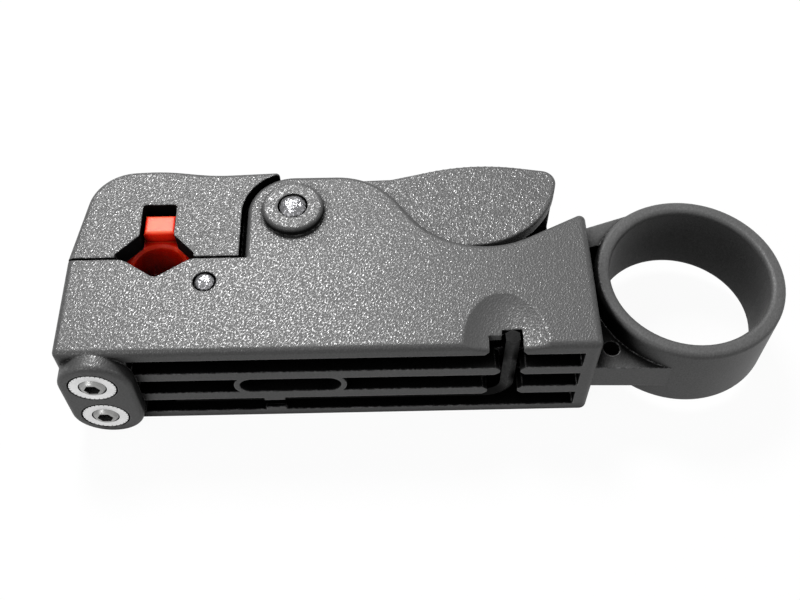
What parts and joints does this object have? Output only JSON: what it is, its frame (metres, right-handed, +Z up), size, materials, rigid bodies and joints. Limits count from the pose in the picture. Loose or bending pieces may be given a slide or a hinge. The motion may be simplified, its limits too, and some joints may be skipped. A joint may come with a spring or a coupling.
{
  "type": "coaxial cable stripper",
  "caption": "Handheld coaxial cable stripper with a sprung jaw lever, orange V-groove cable guide, screw-set blades, stored hex key and finger ring.",
  "frame": {"origin": "middle of the tool's length and width, on the side face it lies on", "axes": "+X along the tool to the finger ring, +Y towards the thumb trigger, +Z up from the side it lies on"},
  "size_m": [0.105, 0.0378, 0.0209],
  "materials": {
    "body_plastic": "glass-filled nylon, fine sparkling grain",
    "guide_plastic": "orange-red moulded plastic",
    "pin_steel": "polished, domed ends",
    "spring_steel": "drawn spring wire",
    "sleeve_plastic": "natural acetal",
    "key_steel": "black oxide",
    "insert_metal": "bright zinc plate, straight serrations",
    "screw_metal": "zinc plate, hex socket",
    "tip_brass": "turned brass",
    "arm_metal": "die-cast, as cast",
    "blade_steel": "ground edge",
    "rivet_metal": "formed heads"
  },
  "bodies": {
    "frame": {"body": "body_plastic", "pivot_pin": "pin_steel", "blade_pin": "pin_steel", "far_sleeve": "sleeve_plastic", "middle_sleeve": "sleeve_plastic", "near_sleeve": "sleeve_plastic", "far_insert": "insert_metal", "near_insert": "insert_metal", "torsion_spring": "spring_steel"},
    "jaw_lever": {"lever": "body_plastic", "cable_guide": "guide_plastic"},
    "key": {"hex_key": "key_steel"},
    "far_tip": {"far_screw_tip": "tip_brass"},
    "far_screw": {"far_depth_screw": "screw_metal"},
    "far_cutter": {"far_blade_arm": "arm_metal", "far_blade": "blade_steel", "far_rivets": "rivet_metal"},
    "near_tip": {"near_screw_tip": "tip_brass"},
    "near_screw": {"near_depth_screw": "screw_metal"},
    "near_cutter": {"near_blade_arm": "arm_metal", "near_blade": "blade_steel", "near_rivets": "rivet_metal"}
  },
  "joints": [
    {"name": "lever_pivot", "type": "hinge", "parent": "frame", "child": "jaw_lever", "pos_m": [-0.01995, 0.00806, 0.0095], "axis": [0, 0, -1], "range_deg": [0, 18], "stiffness_Nm_per_rad": 0.25, "springref_deg": -34.38, "deforming": ["torsion_spring"]},
    {"name": "far_depth_travel", "type": "slide", "parent": "frame", "child": "far_tip", "axis": [0, 1, 0], "range_m": [-0.00035, 0.00105]},
    {"name": "far_depth_turn", "type": "hinge", "parent": "far_tip", "child": "far_screw", "pos_m": [-0.0476, -0.01434, 0.00535], "axis": [0, 1, 0], "range_deg": [-185, 545]},
    {"name": "far_blade_swing", "type": "hinge", "parent": "frame", "child": "far_cutter", "pos_m": [-0.0323, -0.00444, 0.00535], "axis": [0, 0, -1], "range_deg": [-1.5, 4.2]},
    {"name": "near_depth_travel", "type": "slide", "parent": "frame", "child": "near_tip", "axis": [0, 1, 0], "range_m": [-0.00035, 0.00105]},
    {"name": "near_depth_turn", "type": "hinge", "parent": "near_tip", "child": "near_screw", "pos_m": [-0.0476, -0.01434, 0.01365], "axis": [0, 1, 0], "range_deg": [-185, 545]},
    {"name": "near_blade_swing", "type": "hinge", "parent": "frame", "child": "near_cutter", "pos_m": [-0.0323, -0.00444, 0.01365], "axis": [0, 0, -1], "range_deg": [-1.5, 4.2]},
    {"name": "key_pull", "type": "slide", "parent": "frame", "child": "key", "axis": [0, -1, 0], "range_m": [0, 0.02]}
  ],
  "couplings": [
    {"joint": "far_depth_turn", "follows": "far_depth_travel", "rad_per_m": 8976},
    {"joint": "far_blade_swing", "follows": "far_depth_travel", "rad_per_m": 65.359},
    {"joint": "near_depth_turn", "follows": "near_depth_travel", "rad_per_m": 8976},
    {"joint": "near_blade_swing", "follows": "near_depth_travel", "rad_per_m": 65.359}
  ]
}
